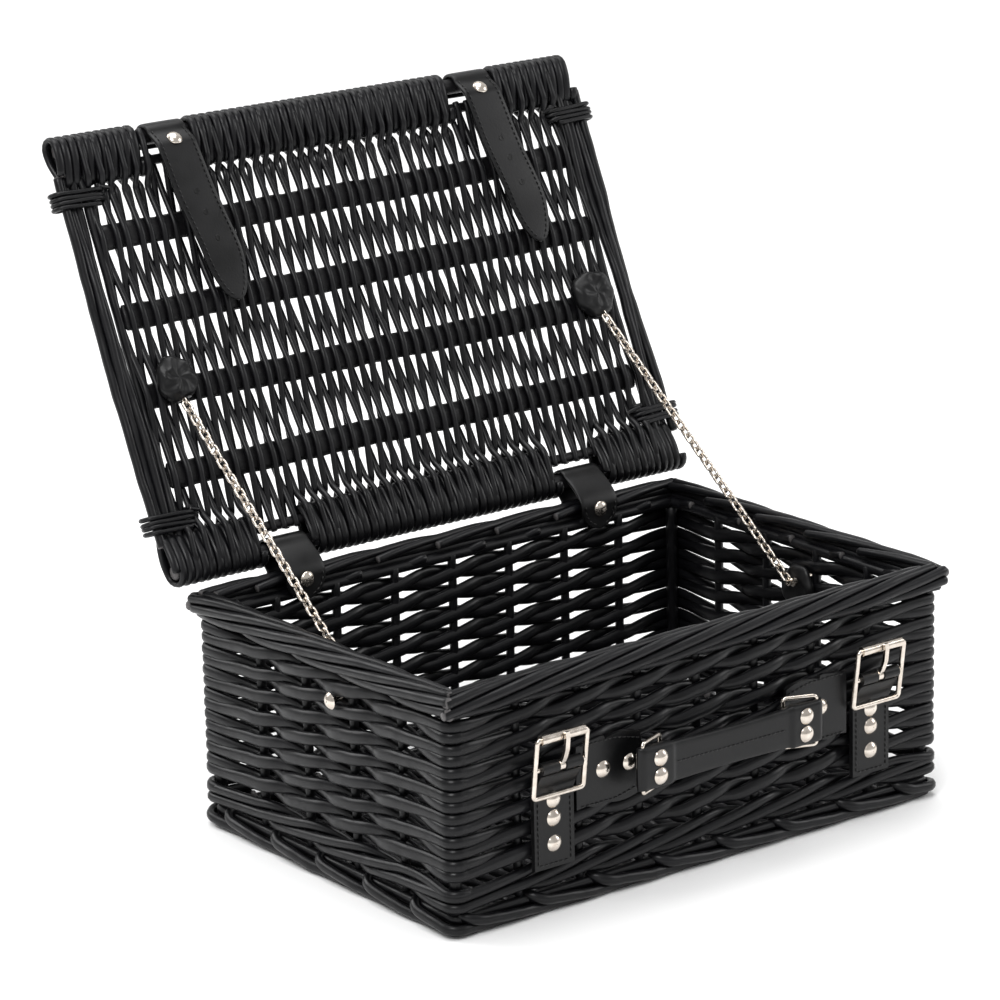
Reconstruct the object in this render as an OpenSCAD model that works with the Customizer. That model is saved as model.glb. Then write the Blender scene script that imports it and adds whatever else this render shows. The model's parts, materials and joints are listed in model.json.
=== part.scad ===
// Wicker picnic basket with a hinged lid, leather straps and nickel fittings.
// Millimetres, +Z up. The front, with the handle, faces -Y. The lid is shown open on its stay chains.

/* [Body] */
// Width over the top border
rim_w = 360; // [340:1:380]
// Depth over the top border
rim_d = 250; // [240:1:260]
// Height of the top border's upper face
rim_top = 141; // [136:1:150]
// Height of the top border
rim_h = 18; // [14:1:20]
// How far the top border stands out past the walls
rim_proud = 5; // [3:0.5:7]
// Thickness of the woven walls
wall_t = 15; // [14:0.5:16]
// Height of the foot border
foot_h = 13; // [11:1:15]
// Height of the three-rod waling above the foot
waling_h = 18; // [15:1:20]
// Thickness of the woven base
base_t = 10; // [8:1:12]

/* [Sticks] */
// Radius of an upright stake
stake_r = 2.75; // [2:0.25:3]
// Radius of a corner post
post_r = 5; // [4:0.5:6]
// Radius of a lid cross stick
stick_r = 6; // [5:0.5:6.5]
// Radius of a lid edge stick
edge_stick_r = 5.5; // [5:0.25:5.5]

/* [Lid] */
// Width of the lid
lid_w = 378; // [370:1:384]
// Depth of the lid
lid_d = 265; // [262:1:268]
// Angle from closed to open
lid_open = 115; // [100:1:120]

/* [Leather] */
// Width of the straps
strap_w = 27; // [24:1:30]
// Thickness of the thin leather
leather_t = 2; // [1.5:0.25:2.25]
// Height of the handle
handle_h = 24.5; // [22:0.5:26]

/* [Metal] */
// Radius of a rivet's dome
dome_r = 4.8; // [4:0.1:5]
// Wire radius of the handle rings
ring_wire_r = 1.25; // [1:0.05:1.3]
// Wire radius of the stay chains
chain_wire_r = 0.8; // [0.7:0.05:0.85]

/* [Hidden] */
$fn = 40;
gap = 0.1;
shaft_r = 1.5;
pin_r = 1.2;

willow = "#2b2a2c";
leather = "#1d1d1f";
nickel = "#c9c6c0";

// Walls
wall_w = rim_w - 2 * rim_proud;
wall_d = rim_d - 2 * rim_proud;
rim_t = rim_proud + 12;
rim_z = rim_top - rim_h;
wall_z = foot_h + waling_h;
corner_r = 8;
foot_w = wall_w + 3;
foot_d = wall_d + 3;
foot_t = wall_t + 1.5;
post_x = wall_w / 2 - 8.5;
post_y = wall_d / 2 - 8.5;
long_pitch = post_x / 4;
short_pitch = post_y * 2 / 5;
stake_top = rim_top - 4;
post_top = rim_z - gap;

// Lid: built closed, then swung open about the hinge line
hinge_y = rim_d / 2 - 1.4;
hinge_z = rim_top + 5.5;
lid_back = rim_d / 2 + 2;
lid_mid = rim_top + 8.6;
edge_r = 8;
edge_pitch = 2 * edge_stick_r + leather_t + 0.8;
edge_band = edge_pitch + 2 * edge_r;
cross_pitch = (lid_d - edge_band) / 5;
slab_half = 4.5;
rib_r = stick_r + 2.35;
side_rod_r = 3;
side_band = 6 * side_rod_r + 1;
strap_gap_w = strap_w + 5;

// Front fittings
front_y = -wall_d / 2;
buckle_span = 113.5;
buckle_shift = 5;
strap_shift = 3.5;
handle_shift = 4;
tab_span = 107;
buckle_y = front_y - 9.5;
buckle_z = 88;
buckle_tilt = 8;
chape_rivet_z = [41.5, 56, 66.5];
bar_r = 1.5;
frame_half_w = 16.9;
frame_up = 17.5;
frame_down = 17;
frame_bend_r = 2;
roller_r = 2.75;
handle_z = 75.3;
handle_y = front_y - 16.5;
handle_half = 62;
handle_rivet_in = 10;
handle_t = 5;
bow_angle = 42;
slide_path = [[0, 0], [-2.3, 0.2], [-4.15, 1.1], [-4.1, 1.7], [-3.5, 2], [-2, 1.6]];
handle_rivet_z = 5.2;
anchor_rivet_x = [59.5, 78];
tongue_x = 44;
tongue_y = front_y - 9;
ring_half_h = 14.2;
ring_bend_r = 1.9;
pin_play = 0.07;

// Stay chains
chain_wall_x = 154;
chain_lid_x = 152;
chain_wall_y = -12;
chain_wall_z = 108;
chain_lid_u = 100.5;
chain_lid_n = -12.5;
eye_reach = 12;
eye_r = 2.6;
eye_hole_r = 1.5;
lid_patch_r = 10.5;
wall_patch_r = 14;
link_count = 39;
link_w = 6.3;
link_play = 0.12;
links_lower = 20;
links_middle = 6;

function unit(v) = v / norm(v);
function normal(v) = [-v[1], v[0]];
function side_way(p, i) = let (
    a = i > 0 ? normal(unit(p[i] - p[i - 1])) : normal(unit(p[1] - p[0])),
    b = i < len(p) - 1 ? normal(unit(p[i + 1] - p[i])) : a
) 2 * (a + b) / pow(norm(a + b), 2);
function band(p, t) = concat(
    [for (i = [0 : len(p) - 1]) p[i] + side_way(p, i) * t / 2],
    [for (i = [len(p) - 1 : -1 : 0]) p[i] - side_way(p, i) * t / 2]
);
function arc(c, r, a, b, n = 10) = [for (i = [0 : n]) let (t = a + (b - a) * i / n) c + r * [cos(t), sin(t)]];
function swing(p, a) = [p[0] * cos(a) - p[1] * sin(a), p[0] * sin(a) + p[1] * cos(a)];
function lid_point(u, n) = [hinge_y, hinge_z] + swing([lid_back - u - hinge_y, lid_mid + n - hinge_z], -lid_open);

// Extrudes a (y, z) outline along X, centred on x
module along_x(x, w) translate([x - w / 2, 0, 0]) rotate([90, 0, 90]) linear_extrude(w) children();
module rod_x(x, y, z, r, w) translate([x - w / 2, y, z]) rotate([0, 90, 0]) cylinder(r = r, h = w);
module rod_y(x, y, z, r, w) translate([x, y, z]) rotate([-90, 0, 0]) cylinder(r = r, h = w);
module rod_z(x, y, z, r, h) translate([x, y, z]) cylinder(r = r, h = h);

// Carries closed-lid shapes to the open position; u runs forward from the back edge, n is up
module on_lid()
    translate([0, hinge_y, hinge_z]) rotate([-lid_open, 0, 0]) translate([0, -hinge_y, -hinge_z]) children();
module at_lid(x, u, n) translate([x, lid_back - u, lid_mid + n]) children();

// ---- Woven body ----

module rounded_rect(w, d, r) {
    square([w - 2 * r, d], center = true);
    square([w, d - 2 * r], center = true);
    for (x = [-1, 1], y = [-1, 1]) translate([x * (w / 2 - r), y * (d / 2 - r)]) circle(r);
}

// One side of a mitred ring: 0 front, 1 right, 2 back, 3 left
module ring_side(w, d, t, r, side) {
    long = side % 2 == 0;
    run = long ? w : d;
    reach = long ? d : w;
    turn = side * 90;
    intersection() {
        difference() {
            rounded_rect(w, d, r);
            square([w - 2 * t, d - 2 * t], center = true);
        }
        rotate(turn) polygon([
            [-run / 2 - 5 + gap, -reach / 2 - 5], [run / 2 + 5 - gap, -reach / 2 - 5],
            [run / 2 - 2 * t - gap, -reach / 2 + 2 * t], [-run / 2 + 2 * t + gap, -reach / 2 + 2 * t]
        ]);
    }
}

module woven_side(w, d, t, z, h, side) translate([0, 0, z]) linear_extrude(h) ring_side(w, d, t, corner_r, side);

module stake_shapes(extra) {
    for (i = [-3 : 3], s = [-1, 1])
        rod_z(i * long_pitch, s * post_y, foot_h - extra, stake_r + extra, stake_top - foot_h + 2 * extra);
    for (j = [-1.5 : 1.5], s = [-1, 1])
        rod_z(s * post_x, j * short_pitch, foot_h - extra, stake_r + extra, stake_top - foot_h + 2 * extra);
}

module post_shapes(extra)
    for (x = [-1, 1], y = [-1, 1])
        rod_z(x * post_x, y * post_y, foot_h - extra, post_r + extra, post_top - foot_h + 2 * extra);

module wall(side) color(willow) difference() {
    woven_side(wall_w, wall_d, wall_t, wall_z + gap, rim_z - wall_z - 2 * gap, side);
    stake_shapes(gap);
    post_shapes(gap);
    stud_shafts(gap);
    front_shafts(gap);
}

module stakes() color(willow) difference() {
    stake_shapes(0);
    stud_shafts(gap);
    front_shafts(gap);
}
module corner_posts() color(willow) post_shapes(0);

module foot_border() color(willow)
    for (side = [0 : 3]) woven_side(foot_w, foot_d, foot_t, 0, foot_h - gap, side);

module waling() color(willow) difference() {
    for (side = [0 : 3]) woven_side(wall_w, wall_d, wall_t, foot_h, waling_h, side);
    stake_shapes(gap);
    post_shapes(gap);
}

module rim_border() color(willow) difference() {
    for (side = [0 : 3]) woven_side(rim_w, rim_d, rim_t, rim_z, rim_h, side);
    stake_shapes(gap);
    tab_shafts(gap);
}

module base_stick_shapes(extra)
    for (j = [-2 : 2]) rod_x(0, j * 40, base_t / 2, 3 + extra, wall_w - 2 * wall_t - 6 + 2 * extra);

module base_weave() color(willow) difference() {
    translate([0, 0, base_t / 2])
        cube([foot_w - 2 * foot_t - 2 * gap, foot_d - 2 * foot_t - 2 * gap, base_t], center = true);
    base_stick_shapes(gap);
}
module base_sticks() color(willow) base_stick_shapes(0);

// ---- Lid ----

module edge_stick_shapes(front, extra)
    for (k = [0, 1])
        rod_x(0, lid_back - (front ? lid_d - edge_r - k * edge_pitch : edge_r + k * edge_pitch), lid_mid,
            edge_stick_r + extra, lid_w - 16 + 2 * extra);

module cross_stick_shapes(extra)
    for (k = [1 : 4])
        rod_x(0, lid_back - edge_band / 2 - k * cross_pitch, lid_mid, stick_r + extra,
            lid_w - 2 * side_band - 4 + 2 * extra);

// Wrapped edge band with bare places where leather loops round the outer stick
module edge_wrap(front, spots) on_lid() color(willow) difference() {
    u0 = front ? lid_d - edge_band : 0;
    union() {
        at_lid(0, u0 + edge_band / 2, 0) cube([lid_w - 2, edge_band - 2 * edge_r, 2 * edge_r], center = true);
        for (k = [0, 1]) rod_x(0, lid_back - u0 - edge_r - k * edge_pitch, lid_mid, edge_r, lid_w - 2);
    }
    edge_stick_shapes(front, gap);
    for (x = spots) at_lid(x, u0 + edge_band / 2, 0)
        cube([strap_gap_w, edge_band + 2, 2 * edge_r + 2], center = true);
}

module lid_weave() on_lid() color(willow) difference() {
    weave_w = lid_w - 2 * side_band;
    weave_d = lid_d - 2 * edge_band - 2 * gap;
    union() {
        at_lid(0, lid_d / 2, 0) cube([weave_w, weave_d, 2 * slab_half], center = true);
        intersection() {
            cross_rib_shapes(weave_w);
            at_lid(0, lid_d / 2, 0) cube([weave_w, weave_d, 4 * rib_r], center = true);
        }
    }
    cross_stick_shapes(gap);
    binding_shapes(gap);
    eye_shafts(gap);
}

module cross_rib_shapes(w)
    for (k = [1 : 4]) rod_x(0, lid_back - edge_band / 2 - k * cross_pitch, lid_mid, rib_r, w);

module lid_front_sticks() on_lid() color(willow) edge_stick_shapes(true, 0);
module lid_back_sticks() on_lid() color(willow) edge_stick_shapes(false, 0);
module lid_cross_sticks() on_lid() color(willow) difference() {
    cross_stick_shapes(0);
    eye_shafts(gap);
}
module lid_front_wrap() edge_wrap(true, [for (s = [-1, 1]) strap_shift + s * buckle_span]);
module lid_back_wrap() edge_wrap(false, [for (s = [-1, 1]) s * tab_span]);

module lid_rods(s) on_lid() color(willow)
    for (k = [0 : 2])
        rod_y(s * (lid_w / 2 - side_rod_r - 0.5 - k * (2 * side_rod_r + gap)), lid_back - lid_d + edge_band + 0.3,
            lid_mid, side_rod_r, lid_d - 2 * edge_band - 0.6);

module binding_shapes(extra)
    for (s = [-1, 1], u = [edge_band + 7, lid_d - edge_band - 7])
        at_lid(s * (lid_w / 2 - side_band / 2 - 4), u, 0) difference() {
            cube([side_band + 10 + 2 * extra, 10 + 2 * extra, 17 + 2 * extra], center = true);
            cube([side_band + 7 - 2 * extra, 12, 2 * slab_half + 1 - 2 * extra], center = true);
        }
module lid_bindings() on_lid() color(willow) binding_shapes(0);

module eye_shafts(extra)
    for (s = [-1, 1]) at_lid(s * chain_lid_x, chain_lid_u + eye_reach, -13)
        cylinder(r = shaft_r + extra, h = 24);

// Each round patch is cut away where the chain leaves it
module lid_patches() on_lid() color(leather) difference() {
    for (s = [-1, 1]) at_lid(s * chain_lid_x, chain_lid_u + eye_reach, -rib_r - 3.2)
        cylinder(r = lid_patch_r, h = 3);
    for (s = [-1, 1]) at_lid(s * chain_lid_x, chain_lid_u, -rib_r - 2) cube([9, 2 * eye_r + 2, 6], center = true);
    eye_shafts(gap);
}

// A rivet shaft ends in an eye plate that lies on the patch and holds the first chain link
module lid_chain_eyes() on_lid() color(nickel) for (s = [-1, 1]) {
    at_lid(s * chain_lid_x, chain_lid_u + eye_reach, -13) cylinder(r = shaft_r, h = 23);
    at_lid(s * chain_lid_x, chain_lid_u + eye_reach, rib_r + 0.3) cylinder(r1 = 3 * shaft_r, r2 = 2.5, h = 1.5);
    difference() {
        union() {
            at_lid(s * chain_lid_x, chain_lid_u + eye_reach, -13.4) cylinder(r = 2 * shaft_r, h = 1.1);
            at_lid(s * chain_lid_x, chain_lid_u + eye_reach / 2, -12.9) cube([2.4, eye_reach, 1], center = true);
            at_lid(s * chain_lid_x, chain_lid_u, chain_lid_n + gap) rotate([0, 90, 0])
                cylinder(r = eye_r, h = 1.4, center = true);
        }
        at_lid(s * chain_lid_x, chain_lid_u, chain_lid_n) rotate([0, 90, 0])
            cylinder(r = eye_hole_r, h = 4, center = true);
    }
}

module hinge_loop(x) on_lid() color(leather) difference() {
    rod_x(x, lid_back - edge_r, lid_mid, edge_stick_r + gap + leather_t, strap_w);
    rod_x(x, lid_back - edge_r, lid_mid, edge_stick_r + gap, strap_w + 2);
}

// ---- Hinge tabs on the back border ----

tab_rivet_z = rim_z + rim_h * 0.7;
tab_low_z = rim_z + 0.4;
tab_in_y = rim_d / 2 - rim_t;
tab_tops = [rim_top + 1.2, rim_top - 1];
module tab_shafts(extra)
    for (s = [-1, 1]) rod_y(s * tab_span, tab_in_y - 3, tab_rivet_z, shaft_r + extra, rim_t + 6);

// An inner and an outer leaf with rounded lower ends, clamped to the border by one rivet
module hinge_tab(x) color(leather) difference() {
    for (side = [0, 1]) {
        y = side == 0 ? tab_in_y - leather_t - gap : rim_d / 2 + gap;
        top = tab_tops[side];
        translate([x, y, 0]) rotate([-90, 0, 0]) linear_extrude(leather_t) intersection() {
            translate([-strap_w / 2, -top]) square([strap_w, top - tab_low_z]);
            translate([0, -tab_low_z - strap_w / 2]) union() {
                circle(strap_w / 2);
                translate([-strap_w / 2, -strap_w]) square(strap_w);
            }
        }
    }
    tab_shafts(gap);
}

module hinge_tab_rivets() color(nickel) for (s = [-1, 1]) {
    reach = leather_t + gap + 0.5;
    rod_y(s * tab_span, tab_in_y - reach, tab_rivet_z, shaft_r, rim_t + 2 * reach);
    translate([s * tab_span, tab_in_y - leather_t - 1.5 * gap, tab_rivet_z]) rotate([90, 0, 0]) dome();
    translate([s * tab_span, rim_d / 2 + leather_t + 1.5 * gap, tab_rivet_z]) rotate([-90, 0, 0]) dome();
}

// Domed rivet head standing on z = 0
module dome() intersection() {
    translate([0, 0, 2.4 - 6]) sphere(6);
    cylinder(r = dome_r, h = 5);
}

// ---- Chain anchorages on the side walls ----

stud_x = wall_w / 2;
module stud_shafts(extra)
    for (s = [-1, 1]) translate([s * (stud_x - wall_t - 5), chain_wall_y, chain_wall_z]) rotate([0, s * 90, 0])
        cylinder(r = shaft_r + extra, h = wall_t + 7);

module wall_patches() color(leather) difference() {
    for (s = [-1, 1]) translate([s * (stud_x - wall_t - gap), chain_wall_y, chain_wall_z - 5])
        rotate([0, -s * 90, 0]) cylinder(r = wall_patch_r, h = 2.4);
    stud_shafts(gap);
}

module wall_chain_studs() color(nickel) for (s = [-1, 1]) difference() {
    union() {
        translate([s * (stud_x - wall_t - 4.3), chain_wall_y, chain_wall_z]) rotate([0, s * 90, 0])
            cylinder(r = shaft_r, h = wall_t + 5.3);
        translate([s * (stud_x + 0.2), chain_wall_y, chain_wall_z]) rotate([0, s * 90, 0]) dome();
        translate([s * chain_wall_x, chain_wall_y, chain_wall_z]) rotate([0, 90, 0])
            cylinder(r = eye_r, h = 1.4, center = true);
        translate([s * (chain_wall_x + 1), chain_wall_y - 2 * shaft_r, chain_wall_z]) rotate([0, 90, 0])
            cylinder(r = eye_r, h = 2, center = true);
    }
    translate([s * chain_wall_x, chain_wall_y, chain_wall_z]) rotate([0, 90, 0])
        cylinder(r = eye_hole_r, h = 8, center = true);
}

// ---- Stay chains ----

chain_low = [chain_wall_y, chain_wall_z];
chain_high = lid_point(chain_lid_u, chain_lid_n);
chain_len = norm(chain_high - chain_low);
chain_rise = atan2(chain_high[1] - chain_low[1], chain_high[0] - chain_low[0]);
link_pitch = (chain_len - 2 * chain_wire_r - link_play) / link_count;
link_len = link_pitch + 4 * chain_wire_r + link_play;
chain_lean = atan2(chain_wall_x - chain_lid_x, chain_len);

// An oval link along +X from a pivot in its near bend; flat in XY, or in XZ when turned
module link() {
    mid = link_len / 2 - chain_wire_r;
    bend = link_w / 2 - chain_wire_r;
    straight = link_len - link_w;
    translate([mid, 0, 0]) {
        for (e = [-1, 1]) {
            translate([e * straight / 2, 0, 0]) rotate([0, 0, e > 0 ? -90 : 90])
                rotate_extrude(angle = 180) translate([bend, 0]) circle(chain_wire_r, $fn = 16);
            translate([-straight / 2, e * bend, 0]) rotate([0, 90, 0])
                cylinder(r = chain_wire_r, h = straight, $fn = 16);
        }
    }
}

module chain_run(s, first, last) color(nickel)
    translate([s * chain_wall_x, chain_low[0], chain_low[1]])
        rotate([chain_rise - 90, 0, 0]) rotate([0, -s * chain_lean, 0]) rotate([0, -90, 0]) for (i = [first : last - 1])
            translate([i * link_pitch, 0, 0]) rotate([i % 2 == 0 ? 90 : 0, 0, 0]) link();

// ---- Closing straps ----

strap_root_u = lid_d - edge_r;
strap_tip_u = lid_d - 113;
strap_rivet_u = 15;
strap_holes = [46, 60, 75];
module strap_outline(x) {
    half = strap_w / 2;
    translate([x, 0]) polygon(concat(
        [[-half, lid_back - strap_root_u], [-half, lid_back - strap_tip_u - 26]],
        [[-half * 0.86, lid_back - strap_tip_u - 15], [-half * 0.45, lid_back - strap_tip_u - 4]],
        [[0, lid_back - strap_tip_u]],
        [[half * 0.45, lid_back - strap_tip_u - 4], [half * 0.86, lid_back - strap_tip_u - 15]],
        [[half, lid_back - strap_tip_u - 26], [half, lid_back - strap_root_u]]
    ));
}

module closing_strap(x) on_lid() color(leather) difference() {
    union() {
        intersection() {
            along_x(x, strap_w) translate([0, lid_mid]) polygon(band([
                [lid_back - strap_root_u, -edge_stick_r - gap - leather_t / 2],
                [lid_back - strap_root_u + 12, -edge_stick_r - gap - leather_t / 2],
                [lid_back - strap_root_u + 50, -rib_r - 0.3 - leather_t / 2],
                [lid_back - strap_tip_u, -rib_r - 0.3 - leather_t / 2]
            ], leather_t));
            translate([0, 0, lid_mid - 20]) linear_extrude(40) strap_outline(x);
        }
        rod_x(x, lid_back - strap_root_u, lid_mid, edge_stick_r + gap + leather_t, strap_w);
    }
    rod_x(x, lid_back - strap_root_u, lid_mid, edge_stick_r + gap, strap_w + 2);
    for (u = strap_holes) at_lid(x, lid_d - u, -20) cylinder(r = 1.7, h = 30);
    at_lid(x, lid_d - strap_rivet_u, -20) cylinder(r = shaft_r + gap, h = 30);
}

module strap_rivet(x) on_lid() color(nickel) at_lid(x, lid_d - strap_rivet_u, 0) {
    translate([0, 0, -edge_stick_r - leather_t - 0.4]) rotate([180, 0, 0]) dome();
    translate([0, 0, -edge_stick_r - leather_t - 0.6]) cylinder(r = shaft_r, h = leather_t + 1);
}

// ---- Buckles on the front wall ----

module front_shafts(extra) {
    for (s = [-1, 1], z = chape_rivet_z)
        rod_y(buckle_shift + s * buckle_span, front_y - 4, z, pin_r + extra, 9);
    for (s = [-1, 1], x = anchor_rivet_x) rod_y(handle_shift + s * x, front_y - 4, handle_z, pin_r + extra, 9);
}

module chape(x) color(leather) difference() {
    t = 3;
    y0 = front_y - 0.3 - t / 2;
    union() {
        along_x(x, strap_w)
            polygon(band([[y0, 28], [y0, 72], [buckle_y + 1.5, buckle_z - 4.6], [buckle_y, buckle_z - 3]], t));
        rod_x(x, buckle_y, buckle_z, bar_r + pin_play + 1.9, strap_w);
    }
    rod_x(x, buckle_y, buckle_z, bar_r + pin_play, strap_w + 2);
    translate([x, buckle_y, buckle_z + 1]) cube([4.6, 12, 9], center = true);
    front_shafts(gap);
}

module chape_rivets() color(nickel)
    for (s = [-1, 1], z = chape_rivet_z) {
        x = buckle_shift + s * buckle_span;
        rod_y(x, front_y - 3.6, z, pin_r, 8);
        translate([x, front_y - 3.35, z]) rotate([90, 0, 0]) dome();
    }

// Buckle shapes stand in their own plane: +Z up the frame, -Y outward
module on_buckle(x) translate([x, buckle_y, buckle_z]) rotate([buckle_tilt, 0, 0]) children();

module buckle_frame(x) on_buckle(x) color(nickel) {
    translate([-frame_half_w, 0, (frame_up - frame_down) / 2])
        wire_ring(2 * frame_half_w, frame_up + frame_down, frame_bend_r, bar_r);
    rod_x(0, 0, 0, bar_r, 2 * frame_half_w);
}

module buckle_roller(x) on_buckle(x) color(nickel) difference() {
    rod_x(0, 0, frame_up, roller_r, 29.4);
    rod_x(0, 0, frame_up, bar_r + pin_play, 32);
}

module buckle_prong(x) on_buckle(x) color(nickel) difference() {
    union() {
        rod_x(0, 0, 0, 2.9, 3.4);
        along_x(0, 2.8) polygon(band([[-1.4, 1.5], [-3.2, 6], [-4.4, 11], [-4.3, 17.5], [-3.4, 20.8]], 1.8));
    }
    rod_x(0, 0, 0, bar_r + pin_play, 6);
}

// ---- Handle ----

module on_side(s) translate([handle_shift, 0, 0]) mirror([s < 0 ? 1 : 0, 0, 0]) children();

module anchor_outline() polygon(concat(
    [[96.5, 56]], [[96.5, 92]],
    arc([80, 78.3], 16.2, 90, 100, 3),
    arc([66, 60], 34, 72, 122, 10),
    [[46.5, 84.3], [46.5, 66.3]],
    arc([66, 88.6], 34, 238, 288, 10),
    arc([82, 69.5], 14.5, 275, 300, 3)
));

module anchor(s) on_side(s) color(leather) difference() {
    union() {
        intersection() {
            translate([0, front_y - 0.3, 0]) rotate([90, 0, 0]) linear_extrude(2.4) anchor_outline();
            translate([52, front_y - 5, 40]) cube([60, 10, 70]);
        }
        translate([0, 0, handle_z - 9]) linear_extrude(18)
            polygon(band([[54.4, front_y - 1.5], [51, front_y - 1.9], [tongue_x + 2, tongue_y + 1.9]], 2.4));
        rod_z(tongue_x, tongue_y, handle_z - 9, ring_wire_r + pin_play + 1.9, 18);
    }
    rod_z(tongue_x, tongue_y, handle_z - 20, ring_wire_r + pin_play, 40);
    for (x = anchor_rivet_x) rod_y(x, front_y - 4, handle_z, pin_r + gap, 9);
}

module anchor_rivets() color(nickel)
    for (s = [-1, 1], x = anchor_rivet_x) {
        rod_y(handle_shift + s * x, front_y - 3.2, handle_z, pin_r, 7.6);
        translate([handle_shift + s * x, front_y - 2.75, handle_z]) rotate([90, 0, 0]) dome();
    }

// A rectangular wire ring in the XZ plane, hung on its left bar
module wire_ring(w, h, bend, r) {
    for (x = [0, w]) rod_z(x, 0, bend - h / 2, r, h - 2 * bend);
    for (z = [-1, 1]) rod_x(w / 2, 0, z * h / 2, r, w - 2 * bend);
    for (i = [0 : 3]) {
        x = i == 0 || i == 3 ? w - bend : bend;
        z = i < 2 ? h / 2 - bend : bend - h / 2;
        translate([x, 0, z]) rotate([90, 0, 0]) rotate([0, 0, i * 90]) rotate_extrude(angle = 90)
            translate([bend, 0]) circle(r);
    }
}

module handle_ring(s) on_side(s) color(nickel) {
    reach = [handle_half - tongue_x, handle_y - tongue_y];
    translate([tongue_x, tongue_y, handle_z]) rotate([0, 0, atan2(reach[1], reach[0])])
        wire_ring(norm(reach), 2 * ring_half_h, ring_bend_r, ring_wire_r);
}

// Half of the handle strap, cut back on its inner face where the two halves fold towards each other.
// The far half has a slotted end fold, since its ring slides there as the strap bows.
module handle_half_strap(s, slotted) on_side(s) color(leather) difference() {
    fold_r = ring_wire_r + 2.45;
    low = handle_z - handle_h / 2;
    union() {
        rod_z(handle_half, handle_y, low, fold_r, handle_h);
        translate([handle_half - 24, handle_y - fold_r, low]) cube([24, 2 * fold_r, handle_h]);
        translate([0, 0, low + 1]) linear_extrude(handle_h - 2) translate([0, handle_y])
            polygon([
                [gap, -handle_t / 2], [handle_half - 20, -handle_t / 2], [handle_half - 20, handle_t / 2],
                [gap + handle_t / 2 * tan(bow_angle), handle_t / 2], [gap, 0]
            ]);
    }
    rod_z(handle_half, handle_y, low - 1, ring_wire_r + pin_play, handle_h + 2);
    if (slotted) hull() for (p = slide_path)
        rod_z(handle_half + p[0], handle_y + p[1], low - 1, ring_wire_r + pin_play, handle_h + 2);
    for (s = [-1, 1])
        rod_y(handle_half - handle_rivet_in, handle_y - 10, handle_z + s * handle_rivet_z, pin_r + gap, 20);
}

module handle_rivets(s) on_side(s) color(nickel)
    for (z = [-1, 1]) translate([handle_half - handle_rivet_in, handle_y, handle_z + z * handle_rivet_z]) {
        translate([0, -4, 0]) rotate([90, 0, 0]) dome();
        rod_y(0, -4.2, 0, pin_r, 8.2);
    }

base_weave();
base_sticks();
foot_border();
waling();
wall(0);  // wall_front
wall(1);  // wall_right
wall(2);  // wall_back
wall(3);  // wall_left
stakes();
corner_posts();
rim_border();
lid_weave();
lid_front_sticks();
lid_back_sticks();
lid_cross_sticks();
lid_front_wrap();
lid_back_wrap();
lid_rods(-1);  // lid_rods_left
lid_rods(1);  // lid_rods_right
lid_bindings();
lid_patches();
lid_chain_eyes();
hinge_loop(-tab_span);  // hinge_loop_left
hinge_loop(tab_span);  // hinge_loop_right
hinge_tab(-tab_span);  // hinge_tab_left
hinge_tab(tab_span);  // hinge_tab_right
hinge_tab_rivets();
wall_patches();
wall_chain_studs();
closing_strap(strap_shift - buckle_span);  // closing_strap_left
closing_strap(strap_shift + buckle_span);  // closing_strap_right
strap_rivet(strap_shift - buckle_span);  // strap_rivet_left
strap_rivet(strap_shift + buckle_span);  // strap_rivet_right
chape(buckle_shift - buckle_span);  // chape_left
chape(buckle_shift + buckle_span);  // chape_right
chape_rivets();
anchor(-1);  // anchor_left
anchor(1);  // anchor_right
anchor_rivets();
buckle_frame(buckle_shift - buckle_span);  // buckle_frame_left
buckle_frame(buckle_shift + buckle_span);  // buckle_frame_right
buckle_roller(buckle_shift - buckle_span);  // buckle_roller_left
buckle_roller(buckle_shift + buckle_span);  // buckle_roller_right
buckle_prong(buckle_shift - buckle_span);  // buckle_prong_left
buckle_prong(buckle_shift + buckle_span);  // buckle_prong_right
handle_ring(-1);  // handle_ring_left
handle_ring(1);  // handle_ring_right
handle_half_strap(-1, false);  // handle_half_left
handle_half_strap(1, true);  // handle_half_right
handle_rivets(-1);  // handle_rivets_left
handle_rivets(1);  // handle_rivets_right
chain_run(-1, 0, links_lower);  // chain_left_lower
chain_run(-1, links_lower, links_lower + links_middle);  // chain_left_middle
chain_run(-1, links_lower + links_middle, link_count);  // chain_left_upper
chain_run(1, 0, links_lower);  // chain_right_lower
chain_run(1, links_lower, links_lower + links_middle);  // chain_right_middle
chain_run(1, links_lower + links_middle, link_count);  // chain_right_upper
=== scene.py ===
import json
import math

import bpy
import numpy as np
from mathutils import Matrix, Vector


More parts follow.
